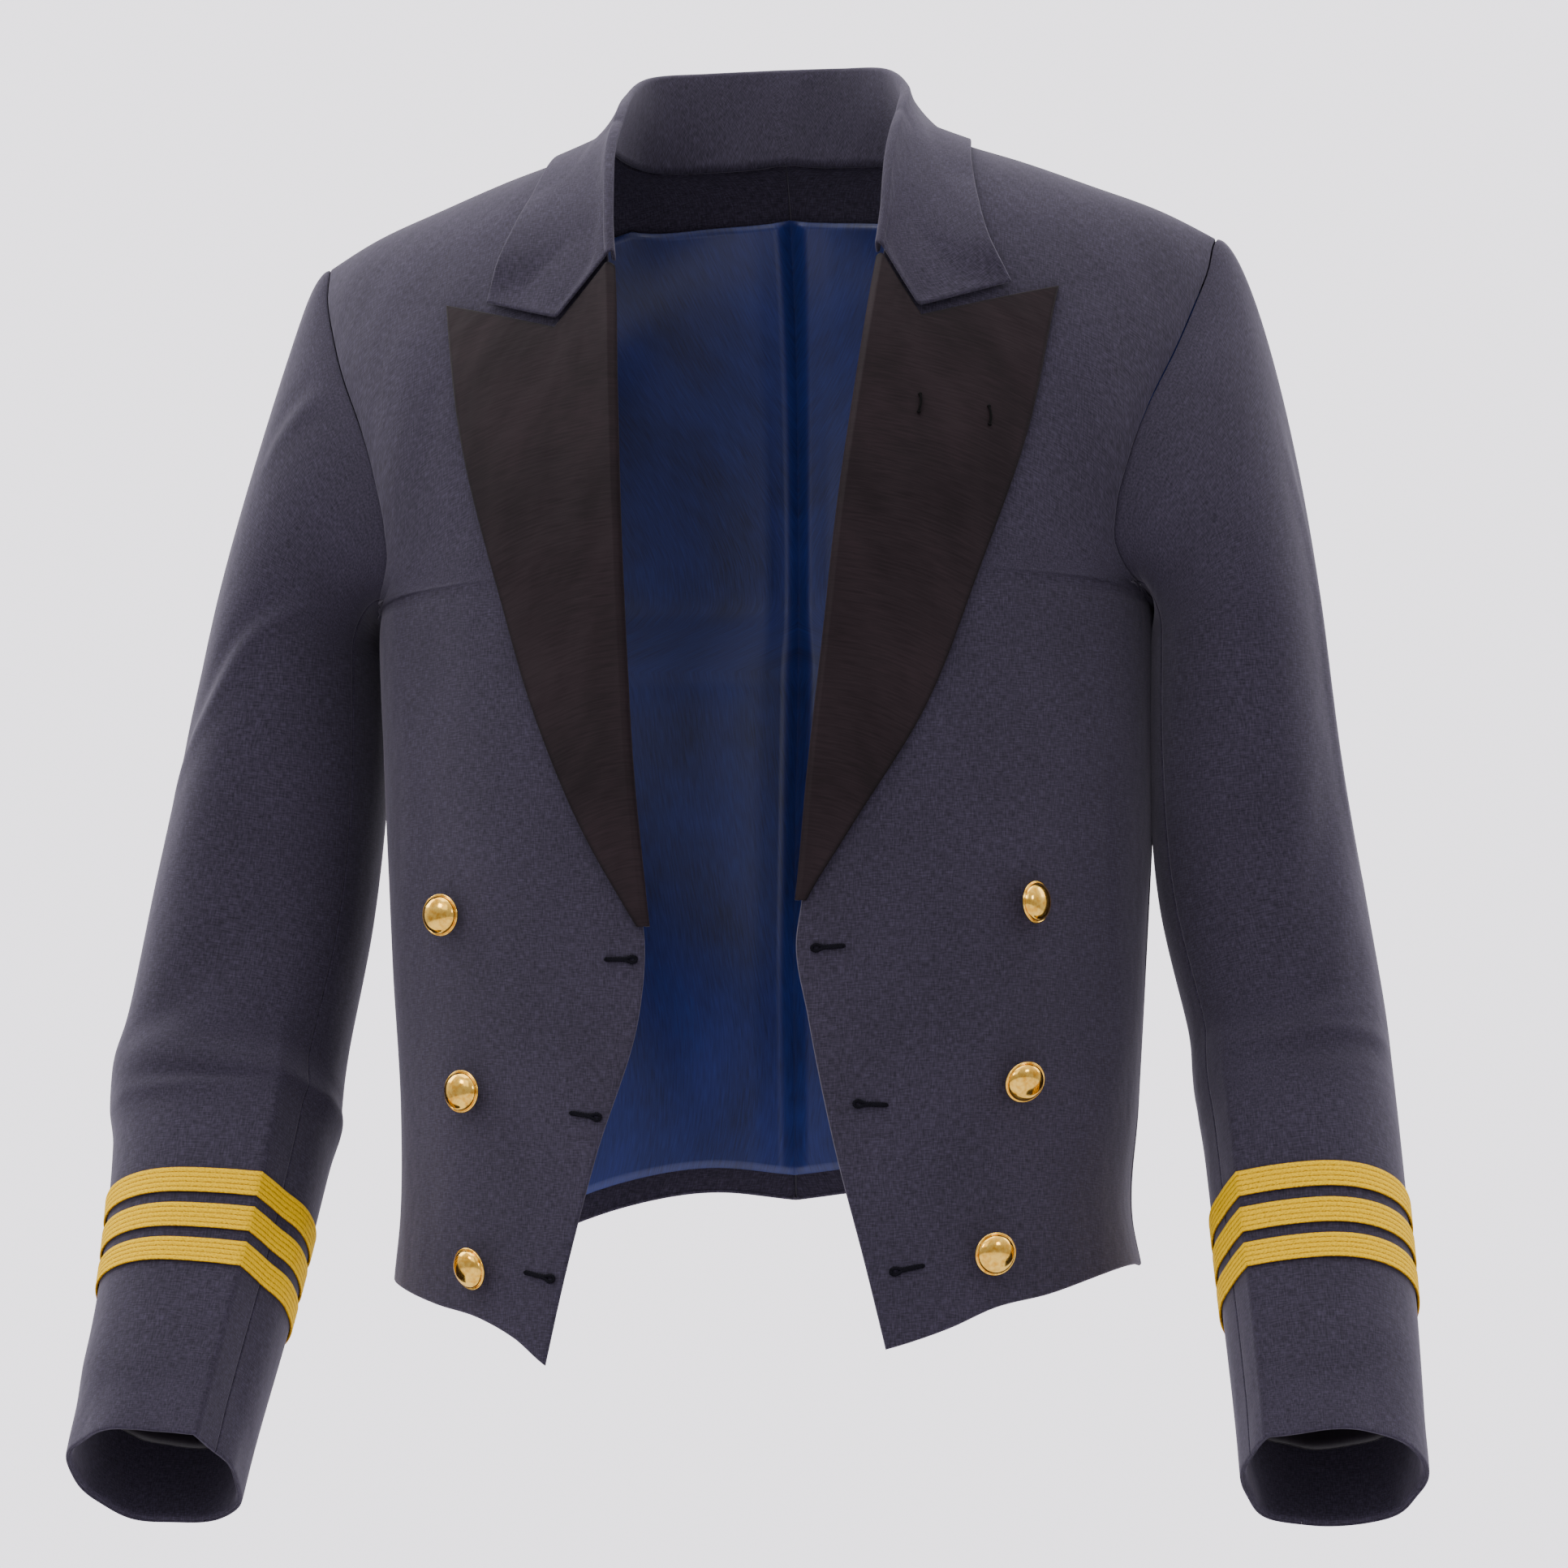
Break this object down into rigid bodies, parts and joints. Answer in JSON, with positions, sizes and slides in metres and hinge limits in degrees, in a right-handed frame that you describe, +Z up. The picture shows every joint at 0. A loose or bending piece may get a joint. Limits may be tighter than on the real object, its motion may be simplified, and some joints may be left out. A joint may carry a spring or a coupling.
{
  "type": "mess jacket",
  "caption": "Waist-length mess jacket in its worn form: cut-away open fronts, peaked satin lapels, turned-down collar, gilt shank buttons and yellow cuff braid.",
  "frame": {"origin": "middle of the neck base, level with the neck ends of the shoulder seams, where the jacket is held as worn", "axes": "+Z up; the jacket faces -Y; +X is the wearer's left"},
  "size_m": [0.6563, 0.2654, 0.764],
  "materials": {
    "cloth": "fine dark blue-grey wool barathea",
    "facing": "dull black silk facing",
    "lining": "deep blue satin lining",
    "braid": "ribbed bright yellow braid",
    "gilt": "polished gilt"
  },
  "bodies": {
    "root": {"front_left": "cloth", "front_right": "cloth", "back_left": "cloth", "back_right": "cloth", "topsleeve_left": "cloth", "topsleeve_right": "cloth", "undersleeve_left": "cloth", "undersleeve_right": "cloth", "collar": "cloth", "lapel_left": "facing", "lapel_right": "facing", "lining_front_left": "lining", "lining_front_right": "lining", "lining_back_left": "lining", "lining_back_right": "lining", "lining_sleeve_left": "lining", "lining_sleeve_right": "lining", "cuff_braid_left_1": "braid", "cuff_braid_left_2": "braid", "cuff_braid_left_3": "braid", "cuff_braid_right_1": "braid", "cuff_braid_right_2": "braid", "cuff_braid_right_3": "braid", "button_left_1": "gilt", "button_left_2": "gilt", "button_left_3": "gilt", "button_right_1": "gilt", "button_right_2": "gilt", "button_right_3": "gilt"}
  },
  "joints": []
}
